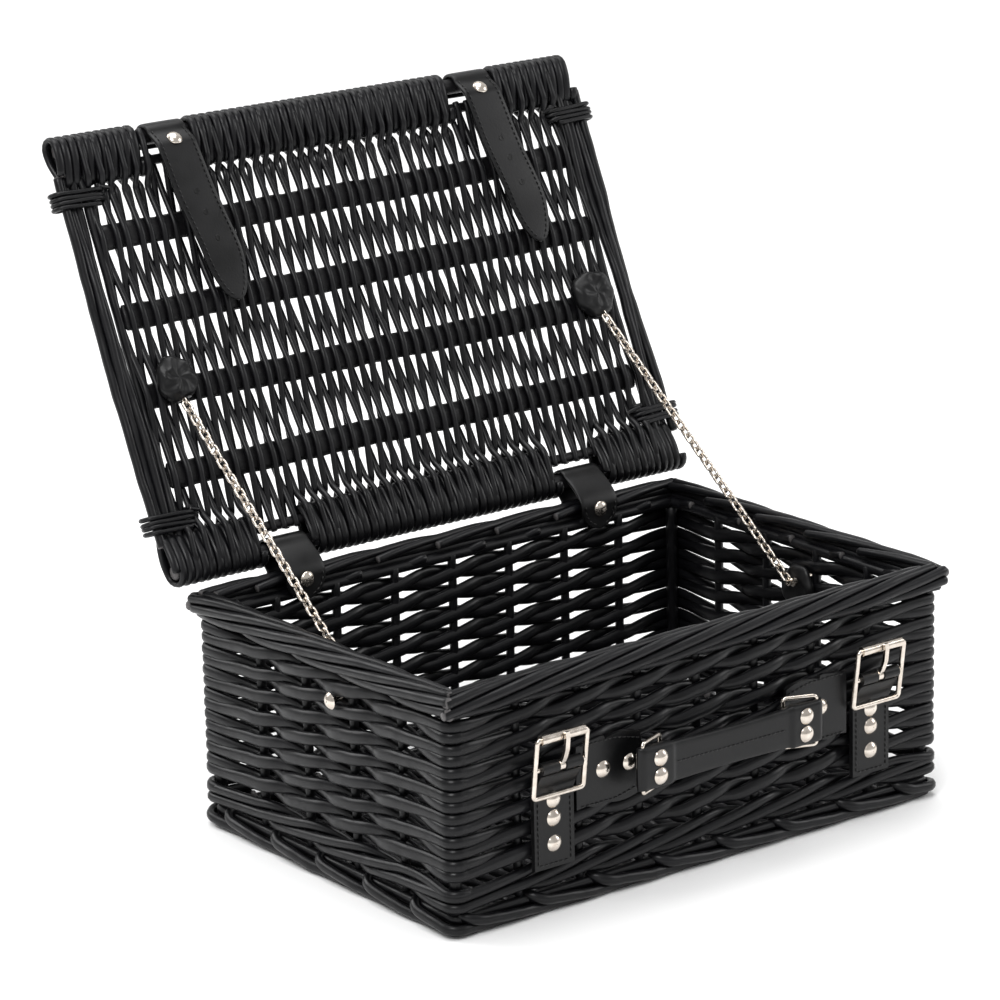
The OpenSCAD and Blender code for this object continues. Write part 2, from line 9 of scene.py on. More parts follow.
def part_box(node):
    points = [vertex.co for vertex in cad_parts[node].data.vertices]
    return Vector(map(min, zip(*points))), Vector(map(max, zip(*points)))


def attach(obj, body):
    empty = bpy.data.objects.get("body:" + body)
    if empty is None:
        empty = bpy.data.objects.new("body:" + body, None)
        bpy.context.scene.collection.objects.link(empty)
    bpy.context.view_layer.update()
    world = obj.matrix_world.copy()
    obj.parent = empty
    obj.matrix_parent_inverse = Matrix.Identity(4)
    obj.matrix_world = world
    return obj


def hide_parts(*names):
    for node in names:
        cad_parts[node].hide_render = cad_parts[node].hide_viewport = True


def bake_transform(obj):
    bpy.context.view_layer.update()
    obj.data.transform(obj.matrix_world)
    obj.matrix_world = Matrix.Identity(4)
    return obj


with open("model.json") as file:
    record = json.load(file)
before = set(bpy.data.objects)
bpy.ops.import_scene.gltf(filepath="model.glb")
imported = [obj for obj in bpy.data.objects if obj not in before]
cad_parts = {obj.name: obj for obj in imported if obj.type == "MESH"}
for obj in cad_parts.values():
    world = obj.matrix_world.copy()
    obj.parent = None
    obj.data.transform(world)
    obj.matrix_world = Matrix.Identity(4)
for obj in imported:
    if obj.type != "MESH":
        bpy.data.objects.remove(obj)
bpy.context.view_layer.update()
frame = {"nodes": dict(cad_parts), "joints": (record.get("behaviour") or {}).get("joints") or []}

# The basket is drawn in millimetres; MM turns them into the frame's metres.
MM = 0.001
RNG = np.random.default_rng(11)
TURN = 2 * math.pi


def node_box(node):
    """Lowest and highest corner of a CAD node, in millimetres."""
    low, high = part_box(node)
    return np.array(low) / MM, np.array(high) / MM


def joint(name):
    return next(j for j in frame["joints"] if j["name"] == name)


# ---- Sizes taken from the frame ----

RIM_LOW, RIM_HIGH = node_box("rim_border")
FOOT_LOW, FOOT_HIGH = node_box("foot_border")
WALE_LOW, WALE_HIGH = node_box("waling")
FRONT_Y = node_box("wall_front")[0][1]
POST_HIGH = node_box("corner_posts")[1]
POST_R = 5.0
POST_X, POST_Y = POST_HIGH[0] - POST_R, POST_HIGH[1] - POST_R
LONG_GAPS, SHORT_GAPS = 8, 5
WALL_ROWS = 7
ROW_PITCH = (RIM_LOW[2] - WALE_HIGH[2] - 1) / WALL_ROWS

HINGE = joint("lid_hinge")
HINGE_Y, HINGE_Z = np.array(HINGE["pos_m"][1:]) / MM
LID_OPEN = math.radians(HINGE["range_deg"][1])
LID_BACK = RIM_HIGH[1] + 2
LID_MID = RIM_HIGH[2] + 8.6
LID_DEPTH = 265.0
STICK_R = 6.0
EDGE_STICK_R = 5.5
EDGE_IN = 8.0
EDGE_PITCH = 13.8
EDGE_BAND = EDGE_PITCH + 2 * EDGE_IN
CROSS_GAPS = 5
CROSS_PITCH = (LID_DEPTH - EDGE_BAND) / CROSS_GAPS


# ---- Curves and meshes ----

def unit(v):
    return v / np.maximum(np.linalg.norm(v, axis=-1, keepdims=True), 1e-9)


def run_length(path):
    """Distance along a path at each of its points."""
    return np.concatenate([[0], np.cumsum(np.linalg.norm(np.diff(path, axis=0), axis=1))])


def points_of(*parts):
    """Points from their coordinates; a single number stands for all of them."""
    return np.stack(np.broadcast_arrays(*parts), -1)


def middle_and_half(low, high):
    return (low + high) / 2, (high - low) / 2


def ease(t):
    t = np.clip(t, 0, 1)
    return t * t * (3 - 2 * t)


def wander(s, size, wave):
    """Smooth irregularity along a length."""
    a, b, c = RNG.uniform(0, TURN, 3)
    return size * (0.6 * np.sin(TURN * s / wave + a) + 0.3 * np.sin(TURN * s / (0.43 * wave) + b)
                   + 0.2 * np.sin(TURN * s / (0.19 * wave) + c))


def lid_point(p):
    """Lid coordinates (x, u from the back edge, n above its middle) to the open lid in the frame."""
    p = np.asarray(p, float)
    y, z = LID_BACK - p[..., 1] - HINGE_Y, LID_MID + p[..., 2] - HINGE_Z
    c, s = math.cos(-LID_OPEN), math.sin(-LID_OPEN)
    return np.stack([p[..., 0], HINGE_Y + y * c - z * s, HINGE_Z + y * s + z * c], -1)


ROUND = [(math.cos(TURN * i / 10), math.sin(TURN * i / 10)) for i in range(10)]


def slab_section(count=20, power=0.28):
    """A flat section with rounded edges, as (across, through)."""
    angle = np.linspace(0, TURN, count, endpoint=False)
    c, s = np.cos(angle), np.sin(angle)
    return np.stack([np.sign(c) * np.abs(c) ** power, np.sign(s) * np.abs(s) ** (power * 1.6)], -1)


class Bundle:
    """Gathers rods, straps and lathe shapes into one mesh, with grain coordinates for its material."""

    def __init__(self, place=np.asarray):
        self.place = place
        self.points, self.grain, self.loops, self.sizes, self.cut = [], [], [], [], []
        self.total = 0

    def put(self, points, grain, faces, cut=None):
        """faces is a list of index arrays, one row per face."""
        self.points.append(self.place(points))
        self.grain.append(grain)
        self.cut.append(np.zeros(len(points)) if cut is None else cut)
        for f in faces:
            self.loops.append((np.asarray(f) + self.total).ravel())
            self.sizes.append(np.full(len(f), np.asarray(f).shape[1]))
        self.total += len(points)

    def sweep(self, path, wide, thick, hint, section=ROUND, closed=False, tone=None, cut_ends=False):
        """A section swept along path; wide is across hint and thick along it, both half sizes."""
        path = np.asarray(path, float)
        n = len(path)
        section = np.asarray(section, float)
        m = len(section)
        wide, thick = np.broadcast_to(wide, n), np.broadcast_to(thick, n)
        if closed:
            tangent = unit(np.roll(path, -1, 0) - np.roll(path, 1, 0))
        else:
            tangent = unit(np.gradient(path, axis=0))
        hint = np.broadcast_to(hint, path.shape)
        side = unit(np.cross(tangent, hint))
        top = unit(np.cross(side, tangent))
        length = run_length(path)
        ring = (path[:, None] + side[:, None] * section[None, :, :1] * wide[:, None, None]
                + top[:, None] * section[None, :, 1:] * thick[:, None, None])
        around = np.arange(m) / m
        tone = RNG.uniform() if tone is None else tone
        grain = points_of(length[:, None], around[None], tone)
        ring, grain = ring.reshape(-1, 3), grain.reshape(-1, 3)
        i = np.arange(n if closed else n - 1)[:, None] * m
        j = np.arange(m)[None]
        k = (j + 1) % m
        nxt = (i + m) % (n * m)
        quads = np.stack(np.broadcast_arrays(i + j, i + k, nxt + k, nxt + j), -1).reshape(-1, 4)
        faces = [quads[:, ::-1]]
        cut = np.zeros(n * m)
        if not closed:
            for end, sign in ((0, -1), (n - 1, 1)):
                bevel = 0.3 * min(wide[end], thick[end])
                scale = 0.8 if cut_ends else 0.72
                outline = side[end] * section[:, :1] * wide[end] + top[end] * section[:, 1:] * thick[end]
                push = sign * tangent[end] * bevel
                inner = path[end] + push + outline * scale
                tip = path[end] + push * (1.05 if cut_ends else 1.35)
                base = len(ring)
                ring = np.concatenate([ring, inner, tip[None]])
                cut = np.concatenate([cut, np.full(m + 1, float(cut_ends))])
                cap = points_of(length[end], np.append(around, 0.5), tone)
                grain = np.concatenate([grain, cap])
                a, b = end * m + j[0], end * m + k[0]
                c, d = base + k[0], base + j[0]
                band = np.stack([a, b, c, d], -1)
                fan = np.stack([d, c, np.full(m, base + m)], -1)
                faces += [band if sign < 0 else band[:, ::-1], fan if sign < 0 else fan[:, ::-1]]
        self.put(ring, grain, faces, cut)

    def rod(self, path, radius, hint=(0, 0, 1), flat=1.0, **more):
        radius = np.broadcast_to(radius, len(path))
        self.sweep(path, radius, radius * flat, hint, **more)

    def lathe(self, centre, axis, profile, sides=28, tone=0.5):
        """A turned shape: profile is (radius, height along axis) from the open edge to the middle."""
        centre, axis = np.asarray(centre), unit(np.asarray(axis, float))
        across = unit(np.cross(axis, (0.3, 0.5, 0.81)))
        other = np.cross(axis, across)
        angle = np.arange(sides) * TURN / sides
        spoke = np.cos(angle)[:, None] * across + np.sin(angle)[:, None] * other
        rings = [centre + axis * h + spoke * r for r, h in profile]
        ends = centre + np.outer([profile[-1][1] * 1.02, profile[0][1]], axis)
        points = np.concatenate(rings + [ends])
        n = len(profile)
        j, k = np.arange(sides), (np.arange(sides) + 1) % sides
        faces = [np.stack([i * sides + j, i * sides + k, (i + 1) * sides + k, (i + 1) * sides + j], -1)
                 for i in range(n - 1)]
        faces.append(np.stack([(n - 1) * sides + j, (n - 1) * sides + k, np.full(sides, n * sides)], -1))
        faces.append(np.stack([k, j, np.full(sides, n * sides + 1)], -1))
        self.put(points, points_of(points[:, 0], points[:, 1], tone), faces)

    def build(self, name, body, material, replaces=(), ride=True):
        mesh = bpy.data.meshes.new(name)
        points = np.concatenate(self.points) * MM
        loops, sizes = np.concatenate(self.loops), np.concatenate(self.sizes)
        starts = np.concatenate([[0], np.cumsum(sizes)[:-1]])
        mesh.vertices.add(len(points))
        mesh.vertices.foreach_set("co", points.astype(np.float32).ravel())
        mesh.loops.add(len(loops))
        mesh.loops.foreach_set("vertex_index", loops.astype(np.int32))
        mesh.polygons.add(len(sizes))
        mesh.polygons.foreach_set("loop_start", starts.astype(np.int32))
        mesh.polygons.foreach_set("loop_total", sizes.astype(np.int32))
        mesh.polygons.foreach_set("use_smooth", np.ones(len(sizes), bool))
        mesh.update(calc_edges=True)
        mesh.validate()
        grain = mesh.attributes.new("grain", "FLOAT_VECTOR", "POINT")
        grain.data.foreach_set("vector", np.concatenate(self.grain).astype(np.float32).ravel())
        cut = mesh.attributes.new("cut", "FLOAT", "POINT")
        cut.data.foreach_set("value", np.concatenate(self.cut).astype(np.float32))
        mesh.materials.append(material)
        piece = bpy.data.objects.new(name, mesh)
        bpy.context.scene.collection.objects.link(piece)
        if replaces:
            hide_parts(*replaces)
        if ride:
            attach(piece, body)
        return piece


# The four sides from the front, counter-clockwise from above: which way is out, and which way is on
OUTWARD = np.array([(0, -1, 0), (1, 0, 0), (0, 1, 0), (-1, 0, 0)], float)
ONWARD = np.array([(1, 0, 0), (0, 1, 0), (-1, 0, 0), (0, -1, 0)], float)
UP = np.array([0, 0, 1])


class Loop:
    """A closed rounded rectangle seen from above, run counter-clockwise from the front left corner."""

    def __init__(self, half_x, half_y, corner):
        points, normals = [], []
        for side in range(4):
            normal, along = OUTWARD[side][:2], ONWARD[side][:2]
            run, reach = (half_x, half_y) if side % 2 == 0 else (half_y, half_x)
            for t in np.linspace(-(run - corner), run - corner, 12):
                points.append(along * t + normal * reach)
                normals.append(normal)
            centre = along * (run - corner) + normal * (reach - corner)
            for a in np.linspace(0, math.pi / 2, 9)[1:-1]:
                turned = normal * math.cos(a) + along * math.sin(a)
                points.append(centre + turned * corner)
                normals.append(turned)
        points.append(points[0])
        normals.append(normals[0])
        self.points, self.normals = np.array(points), np.array(normals)
        self.at = run_length(self.points)
        self.length = self.at[-1]

    def path(self, s, out, z):
        """Points at distance s round the loop, moved out and up, with their outward normals."""
        s = np.mod(s, self.length)
        p = np.stack([np.interp(s, self.at, self.points[:, i]) for i in (0, 1)], -1)
        n = unit(np.stack([np.interp(s, self.at, self.normals[:, i]) for i in (0, 1)], -1))
        p = p + n * np.broadcast_to(out, s.shape)[:, None]
        return points_of(p[:, 0], p[:, 1], z), points_of(n[:, 0], n[:, 1], 0.0)


# ---- Materials ----

class Paint:
    """A material's node tree, built by short calls."""

    def __init__(self, name):
        self.material = bpy.data.materials.new(name)
        self.material.use_nodes = True
        self.tree = self.material.node_tree
        self.shader = self.tree.nodes["Principled BSDF"]

    def feed(self, socket, value):
        """Link another node's output to a socket, or set the socket to a constant."""
        if isinstance(value, bpy.types.NodeSocket):
            self.tree.links.new(value, socket)
        else:
            socket.default_value = value

    def node(self, kind, **inputs):
        made = self.tree.nodes.new(kind)
        for key, value in inputs.items():
            self.feed(made.inputs[key.replace("_", " ")], value)
        return made

    def attribute(self, name):
        made = self.tree.nodes.new("ShaderNodeAttribute")
        made.attribute_name = name
        return made.outputs

    def place(self):
        return self.tree.nodes.new("ShaderNodeTexCoord").outputs["Object"]

    def multiply(self, a, b):
        return self.math("MULTIPLY", a, b)

    def math(self, operation, a, b):
        made = self.tree.nodes.new("ShaderNodeMath")
        made.operation = operation
        self.feed(made.inputs[0], a)
        self.feed(made.inputs[1], b)
        return made.outputs[0]

    def mix(self, factor, a, b):
        """A colour between a and b; a Mix node's colour sockets are its seventh, eighth and third."""
        made = self.tree.nodes.new("ShaderNodeMix")
        made.data_type = "RGBA"
        self.feed(made.inputs[0], factor)
        self.feed(made.inputs[6], a)
        self.feed(made.inputs[7], b)
        return made.outputs[2]

    def spread(self, value, low, high):
        """The middle of a noise's range spread from low to high."""
        made = self.node("ShaderNodeMapRange", Value=value, From_Min=0.3, From_Max=0.7,
                         To_Min=low, To_Max=high)
        return made.outputs["Result"]

    def noise(self, vector, scale, detail=3.0):
        made = self.node("ShaderNodeTexNoise", Vector=vector, Scale=scale, Detail=detail)
        return made.outputs["Fac"]

    def link(self, value, name):
        self.tree.links.new(value, self.shader.inputs[name])

    def bump(self, height, strength, distance):
        made = self.node("ShaderNodeBump", Height=height, Strength=strength, Distance=distance)
        self.link(made.outputs["Normal"], "Normal")

    def set(self, **values):
        for key, value in values.items():
            self.shader.inputs[key.replace("_", " ")].default_value = value


def willow_material(name, dark, light, rough, grain_depth=0.35):
    """Stained willow: long grain, a tone of its own for each rod, and paler cut ends."""
    paint = Paint(name)
    split = paint.node("ShaderNodeSeparateXYZ", Vector=paint.attribute("grain")["Vector"])
    along, around, tone = split.outputs
    stretched = paint.node("ShaderNodeCombineXYZ", X=paint.multiply(along, 0.03),
                           Y=paint.multiply(around, 5.0), Z=paint.multiply(tone, 60.0))
    streak = paint.noise(stretched.outputs[0], 3.0, 4.0)
    blotch = paint.node("ShaderNodeCombineXYZ", X=paint.multiply(along, 0.06),
                        Y=around, Z=paint.multiply(tone, 40.0))
    patch = paint.noise(blotch.outputs[0], 1.6, 2.0)
    tint = paint.multiply(paint.math("ADD", paint.spread(streak, 0.0, 1.0), tone), 0.5)
    wood = paint.mix(tint, dark, light)
    pith = (0.16, 0.15, 0.15, 1)
    paint.link(paint.mix(paint.multiply(paint.attribute("cut")["Fac"], 0.55), wood, pith), "Base Color")
    paint.link(paint.spread(patch, *rough), "Roughness")
    paint.bump(streak, grain_depth, 0.0004)
    paint.set(Specular_IOR_Level=0.2, Coat_Weight=0.14, Coat_Roughness=0.2)
    return paint.material


def leather_material(name, colour, worn, scale=900.0):
    """Leather, thread and the painted shade in the strap holes: a fine pore bump over broad wear."""
    paint = Paint(name)
    place = paint.place()
    fine = paint.noise(place, scale, 4.0)
    broad = paint.noise(place, 60.0, 2.0)
    paint.link(paint.mix(paint.spread(broad, 0.0, 1.0), colour, worn), "Base Color")
    paint.link(paint.spread(broad, 0.3, 0.44), "Roughness")
    paint.bump(fine, 0.2, 0.0003)
    paint.set(Specular_IOR_Level=0.27)
    return paint.material


def metal_material(name, colour, bright):
    """Plated metal, slightly uneven in colour and polish."""
    paint = Paint(name)
    wear = paint.noise(paint.place(), 300.0, 3.0)
    paint.link(paint.mix(paint.spread(wear, 0.0, 1.0), colour, bright), "Base Color")
    paint.link(paint.spread(wear, 0.14, 0.26), "Roughness")
    paint.set(Metallic=1.0)
    return paint.material


def grey(level):
    return (level, level, level, 1)


WILLOW = willow_material("stained_willow", (0.0011, 0.0011, 0.0015, 1),
                         (0.0055, 0.0055, 0.0068, 1), (0.3, 0.5))
BARK = willow_material("rough_bark", (0.0015, 0.0015, 0.002, 1), (0.007, 0.0065, 0.0075, 1), (0.36, 0.6), 0.8)
LEATHER = leather_material("black_leather", (0.003, 0.003, 0.0033, 1), (0.007, 0.007, 0.0075, 1))
THREAD = leather_material("waxed_thread", grey(0.008), grey(0.03), 3000.0)
# Painted shade: a near-black finish for the discs that stand in for the dark inside of each strap hole
SHADE = leather_material("painted_hole_shade", grey(0.0003), grey(0.0008))
NICKEL = metal_material("nickel_plate", (0.60, 0.53, 0.46, 1), (0.76, 0.70, 0.63, 1))


# ---- Woven walls ----

CORNER_OUT = 6.2
ROD_R = 3.0


class Weave:
    """Places round the basket counted in stakes and corner posts, on the line through their middles."""

    def __init__(self, laps=1, per_gap=14, arc=7):
        centre, normal, count = [], [], []
        corners = [(-POST_X, -POST_Y), (POST_X, -POST_Y), (POST_X, POST_Y), (-POST_X, POST_Y)]
        gaps = [LONG_GAPS, SHORT_GAPS, LONG_GAPS, SHORT_GAPS]
        start = 0
        for k in range(4):
            a, b = np.array(corners[k]), np.array(corners[(k + 1) % 4])
            out, after = OUTWARD[k][:2], ONWARD[k][:2]
            steps = gaps[k] * per_gap
            for i in range(1, steps + 1):
                centre.append(a + (b - a) * i / steps)
                normal.append(out)
                count.append(start + gaps[k] * i / steps)
            # The row turns the corner round its post
            for t in np.linspace(0, math.pi / 2, arc + 1)[1:]:
                centre.append(b)
                normal.append(out * math.cos(t) + after * math.sin(t))
                count.append(start + gaps[k])
            start += gaps[k]
        corner_at = np.concatenate([[0], np.cumsum(gaps)])
        one = np.array(count, float)
        self.centre = np.tile(np.array(centre), (laps, 1))
        self.normal = np.tile(np.array(normal, float), (laps, 1))
        self.count = np.concatenate([one + lap * start for lap in range(laps)])
        within = np.mod(self.count - 1e-9, start)
        self.corner = 1 - ease(np.abs(within[:, None] - corner_at[None]).min(1))
        # Half steps, from stake to the middle of the next gap, with each corner as the middle of a gap
        knots = [0.0]
        for k in range(4):
            for i in range(1, gaps[k]):
                knots.append(corner_at[k] + i)
                knots.append(corner_at[k] + (i + 0.5 if i < gaps[k] - 1 else gaps[k]))
        whole = len(knots) - 1
        self.half = np.interp(within, knots, range(whole + 1)) + np.floor((self.count - 1e-9) / start) * whole

    def path(self, out, z):
        """Points moved out and up from the line, with their outward normals."""
        p = self.centre + self.normal * np.asarray(out)[:, None]
        return points_of(p[:, 0], p[:, 1], z), points_of(self.normal[:, 0], self.normal[:, 1], 0.0)


def wall_weave():
    """Rows of pairing: two rods that twist once round each other between stakes."""
    weave = Weave()
    bundle = Bundle()
    swing, bias, lift = 2.9, 2.1, 3.1
    sharp = 1.3
    slim, full, flat = 1.14, 0.26, 0.66
    first_row = WALE_HIGH[2] + 0.8
    run = run_length(weave.path(np.full(len(weave.corner), 5), 0)[0])
    for row in range(WALL_ROWS):
        middle = first_row + ROW_PITCH * (row + 0.5)
        for rod in (0, 1):
            phase = math.pi * (weave.half / 2) + math.pi * rod - math.pi / 2
            reach = swing + wander(run, 0.35, 190)
            across = np.tanh(sharp * np.cos(phase)) / math.tanh(sharp)
            out = (bias + reach * across) * (1 - weave.corner) + CORNER_OUT * weave.corner
            rise = np.sin(phase) * np.abs(np.sin(phase)) ** 0.5
            z = middle + lift * rise + wander(run, 0.4, 260)
            radius = ROD_R + wander(run, 0.22, 420) + RNG.uniform(-0.12, 0.12)
            path, hint = weave.path(out, z)
            # A rod is fullest where it passes a stake
            plump = slim + full * np.sqrt(np.abs(np.cos(phase))) * (1 - weave.corner)
            bundle.rod(path, radius * plump, hint, flat=flat, closed=True)
    walls = [f"wall_{side}" for side in ("front", "back", "left", "right")]
    bundle.build("wall_weave", "basket", WILLOW, walls)


def waling():
    """A three-rod wale: each rod runs in front of two stakes and behind the third, rising as it goes."""
    weave = Weave(laps=3)
    bundle = Bundle()
    # Out and up at each half step of a turn that spans three stakes
    outs = np.array([-5.2, 3.0, 5.4, 5.9, 5.4, 3.0, -5.2])
    ups = np.array([0, -6.0, -3.0, 0, 3.0, 6.0, 0])
    steps = len(outs) - 1
    share = np.mod(weave.half / steps, 1)
    middle = (WALE_LOW[2] + WALE_HIGH[2]) / 2
    blur = np.linspace(-0.06, 0.06, 7)

    def soft(values):
        turned = [np.mod(share + t - 0.5 / steps, 1) * steps for t in blur]
        return sum(np.interp(t, range(steps + 1), values) for t in turned) / len(blur)

    out = soft(outs) * (1 - weave.corner) + CORNER_OUT * weave.corner
    z = middle + soft(ups)
    length = np.arange(len(z)) * 3.0
    path, hint = weave.path(out, z + wander(length, 0.2, 300))
    bundle.rod(path, 2.95 + wander(length, 0.15, 500), hint, flat=0.9, closed=True)
    bundle.build("waling_rods", "basket", WILLOW, ["waling"])


def foot_border():
    """Slanting rods laid one over the next round the foot, each bending out of the wall."""
    bundle = Bundle()
    core_r, core_out = 3.1, -5.6
    loop = Loop(FOOT_HIGH[0] - core_r, FOOT_HIGH[1] - core_r, 8)
    count = 2 * (LONG_GAPS + SHORT_GAPS)
    pitch = loop.length / count
    # Along the loop, outward and upward: each rod drops out of the wall, bends and runs under the next
    knots = np.array([(-1.0, -8.0, 12.4), (0.0, -4.4, 11.6), (2.2, -1.2, 10.6), (5.6, 0.6, 9.4),
                      (10.0, 1.0, 8.3), (0.5 * pitch, 0.9, 7.0), (0.85 * pitch, 0.2, 5.2),
                      (1.2 * pitch, -2.0, 3.8), (1.7 * pitch, -3.0, 3.2), (2.2 * pitch, -3.2, 3.0)])
    reach = run_length(knots)
    t = np.linspace(0, 1, 64)
    blur = [t * reach[-1] + tap for tap in np.linspace(-2.6, 2.6, 9)]
    along, out, z = (np.mean([np.interp(at, reach, part) for at in blur], axis=0) for part in knots.T)
    for k in range(count):
        s = k * pitch + RNG.uniform(-1.5, 1.5) + along
        radius = 3.3 - 0.5 * t + RNG.uniform(-0.2, 0.2)
        path, hint = loop.path(s, out, np.maximum(z + wander(s, 0.3, 60), radius + 0.02))
        bundle.rod(path, radius, hint, flat=0.82, cut_ends=True)
    s = np.linspace(0, loop.length, 240, endpoint=False)
    for z in (3.2, 9.4):
        path, hint = loop.path(s, core_out, z)
        bundle.rod(path, core_r, hint, closed=True)
    bundle.build("foot_border_rods", "basket", WILLOW, ["foot_border"])


def rim_border():
    """Rolled border: every rod leans along the outer face, crosses the top and is cut off inside."""
    bundle = Bundle()
    half_w, half_h = 5.4, 5.8
    centre_z = (RIM_LOW[2] + RIM_HIGH[2]) / 2
    inset = half_w + 3.3
    crossing = 4.7
    rounding = 3
    t = np.linspace(0, 1, 90)
    for side in range(4):
        normal, along = OUTWARD[side], ONWARD[side]
        run, reach = (RIM_HIGH[:2] if side % 2 == 0 else RIM_HIGH[1::-1]) - inset
        gaps = LONG_GAPS if side % 2 == 0 else SHORT_GAPS
        pitch = 2 * run / gaps
        for k in range(-5, gaps + 1):
            s = -run + (k + 0.5 + RNG.uniform(-0.05, 0.05)) * pitch + t * crossing * pitch
            # From under the border up its outer face, over the top and down inside
            angle = np.radians(-150 + 62 * ease(t / 0.12) + 240 * np.clip(t - 0.06, 0, 1) / 0.94)
            bulge = 1 + wander(s, 0.03, 70)
            c, z = np.cos(angle), np.sin(angle)
            squareness = 1 / (np.abs(c) ** rounding + np.abs(z) ** rounding) ** (1 / rounding)
            out = half_w * c * squareness * bulge
            up = half_h * z * squareness * bulge
            radius = 2.95 - 0.4 * t + RNG.uniform(-0.15, 0.15)
            path = along * s[:, None] + normal * (reach + out)[:, None] + UP * (centre_z + up)[:, None]
            hint = unit(normal * c[:, None] + UP * z[:, None])
            # The sides meet in a mitre at each corner
            kept = np.abs(s) < run + out + RNG.uniform(-0.4, 2.6)
            if kept.sum() > 5:
                bundle.rod(path[kept], radius[kept], hint[kept], flat=0.9, cut_ends=True)
        # Bent stakes that fill the roll
        s = np.linspace(-run, run, 60)
        for out, up in ((0, -2.0), (0, 2.0), (-3.6, -5.5)):
            core = along * s[:, None] + normal * (reach + out) + UP * (centre_z + up)
            bundle.rod(core, 3.3, normal)
    bundle.build("rim_border_rods", "basket", WILLOW, ["rim_border"])


def upright(bundle, x, y, low, high, radius):
    z = np.linspace(low, high, 24)
    bend = wander(z, 0.25, 90)
    path = points_of(x + bend, y + wander(z, 0.2, 80), z)
    bundle.rod(path, radius + wander(z, 0.1, 60), (1, 0, 0))


def uprights():
    """Stakes between the rods of the walls, and a thicker post in each corner."""
    stakes, posts = Bundle(), Bundle()
    low, high = FOOT_HIGH[2], RIM_LOW[2] + 4
    stake_r, post_r = 2.7, 3.7
    for side in (-1, 1):
        for i in range(1, LONG_GAPS):
            upright(stakes, (i - LONG_GAPS / 2) * 2 * POST_X / LONG_GAPS, side * POST_Y, low, high, stake_r)
        for i in range(1, SHORT_GAPS):
            upright(stakes, side * POST_X, (i - SHORT_GAPS / 2) * 2 * POST_Y / SHORT_GAPS, low, high, stake_r)
        for other in (-1, 1):
            upright(posts, side * POST_X, other * POST_Y, low, RIM_LOW[2], post_r)
    stakes.build("wall_stakes", "basket", WILLOW, ["stakes"])
    posts.build("wall_posts", "basket", WILLOW, ["corner_posts"])


def base():
    """The floor: rods from front to back, over and under five long sticks."""
    low, high = node_box("base_weave")
    sticks_low, sticks_high = node_box("base_sticks")
    rods, sticks = Bundle(), Bundle()
    middle = (low[2] + high[2]) / 2
    stick_pitch, stick_r, stick_over = 40, 2.8, 3
    for row in range(-2, 3):
        x = np.linspace(sticks_low[0] - stick_over, sticks_high[0] + stick_over, 60)
        sticks.rod(points_of(x, row * stick_pitch + wander(x, 0.3, 150), middle), stick_r, (0, 0, 1))
    pitch, over, swing, rod_r = 4.9, 4.5, 2.5, 2.3
    count = int((high[0] - low[0] + 2 * over) / pitch)
    y = np.linspace(low[1] - over, high[1] + over, 70)
    for k in range(count):
        x = low[0] - over + k * (high[0] - low[0] + 2 * over) / (count - 1)
        z = middle + (-1) ** k * swing * np.cos(math.pi * y / stick_pitch)
        rods.rod(points_of(x + wander(y, 0.3, 120), y, z), rod_r, (0, 0, 1))
    rods.build("base_weave_rods", "basket", WILLOW, ["base_weave"])
    sticks.build("base_stick_rods", "basket", WILLOW, ["base_sticks"])


# ---- Lid ----

STRAP_X = {"left": (-110.5, -96.5), "right": (109.5, 123.5)}
STRAP_GAP = 31.0


def lid_sticks():
    """Two sticks along each edge, the outer one stouter, and four flat cross sticks between."""
    edge_half, cross_half = 181, 168
    x = np.linspace(-edge_half, edge_half, 80)
    outer_r, inner_r = EDGE_STICK_R - 0.8, 3.0
    for name, outer_u, inward in (("front", LID_DEPTH - EDGE_IN, -1), ("back", EDGE_IN, 1)):
        edge = Bundle(lid_point)
        for u, radius in ((outer_u, outer_r), (outer_u + inward * EDGE_PITCH, inner_r)):
            path = points_of(x, u + wander(x, 0.3, 200), wander(x, 0.2, 170))
            edge.rod(path, radius + wander(x, 0.1, 90), (0, 0, 1), cut_ends=True)
        edge.build(f"lid_{name}_stick_rods", "lid", BARK, [f"lid_{name}_sticks"])
    cross = Bundle(lid_point)
    x = np.linspace(-cross_half, cross_half, 150)
    wide, thin = STICK_R + 1.6, 2.5
    for k in range(1, CROSS_GAPS):
        u = EDGE_BAND / 2 + k * CROSS_PITCH
        path = points_of(x, u + wander(x, 0.5, 120), wander(x, 0.3, 90))
        cross.rod(path, wide + wander(x, 0.35, 30), (0, 0, 1), flat=thin / wide)
    cross.build("lid_cross_stick_rods", "lid", BARK, ["lid_cross_sticks"])


def near_gap(x, gaps):
    return any(abs(x - g) < STRAP_GAP / 2 + 2 for g in gaps)


